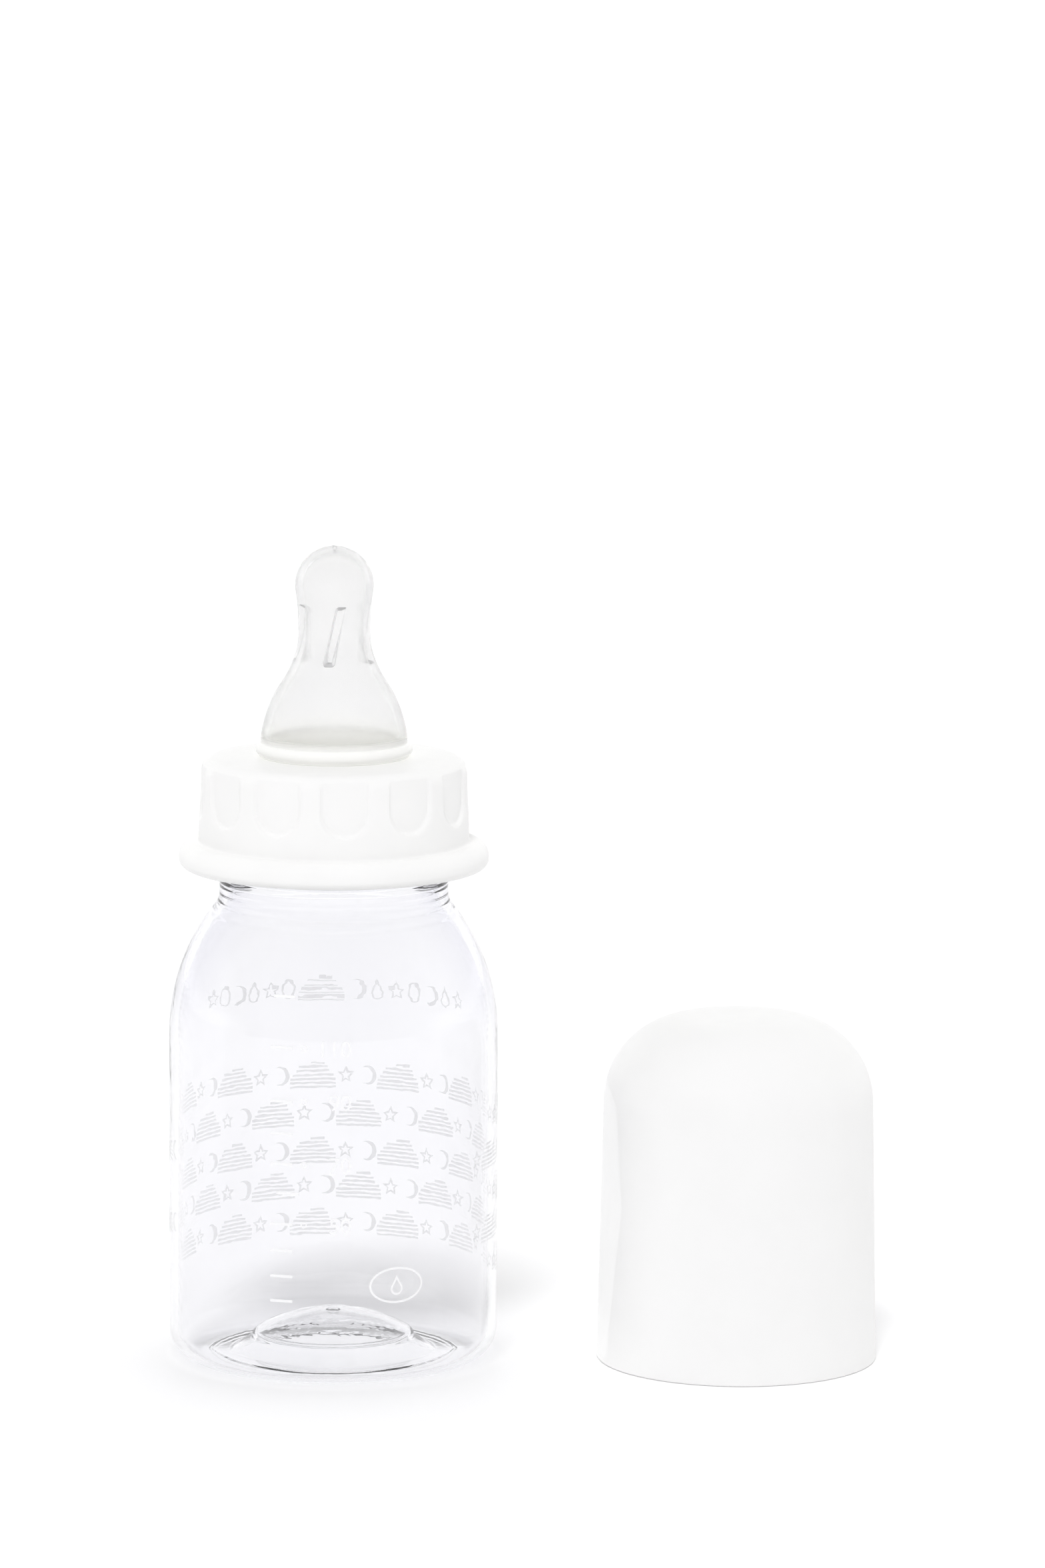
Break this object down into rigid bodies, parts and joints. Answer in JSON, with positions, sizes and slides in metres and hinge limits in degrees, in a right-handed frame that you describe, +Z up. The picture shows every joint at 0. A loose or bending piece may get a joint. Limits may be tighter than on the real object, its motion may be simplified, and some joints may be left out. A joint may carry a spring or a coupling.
{
  "type": "baby bottle",
  "caption": "Small round feeding bottle in clear plastic with a threaded neck, a screw ring with grips, a silicone teat and a separate domed protective cap.",
  "frame": {"origin": "centre of the bottle's base, on the plane that the bottle and the cap stand on", "axes": "+Z up along the bottle's axis; the cap stands beside the bottle on the +X side; -Y is the side that carries the volume scale"},
  "size_m": [0.1167, 0.054, 0.1343],
  "materials": {
    "clear_plastic": "gloss",
    "silicone": "gloss",
    "white_plastic": "satin",
    "cap_plastic": "satin"
  },
  "bodies": {
    "bottle": {"bottle": "clear_plastic"},
    "teat": {"teat": "silicone"},
    "ring": {"screw_ring": "white_plastic"},
    "cap": {"cap": "cap_plastic"}
  },
  "joints": [
    {"name": "closure_lift", "type": "slide", "parent": "bottle", "child": "teat", "axis": [0, 0, 1], "range_m": [0, 0.016]},
    {"name": "ring_turn", "type": "hinge", "parent": "teat", "child": "ring", "pos_m": [0, 0, 0.09], "axis": [0, 0, 1], "range_deg": [0, 1440]},
    {"name": "cap_lift", "type": "slide", "parent": "bottle", "child": "cap", "axis": [0, 0, 1], "range_m": [0, 0.14]}
  ],
  "couplings": [
    {"joint": "closure_lift", "follows": "ring_turn", "m_per_rad": 0.0006366}
  ]
}
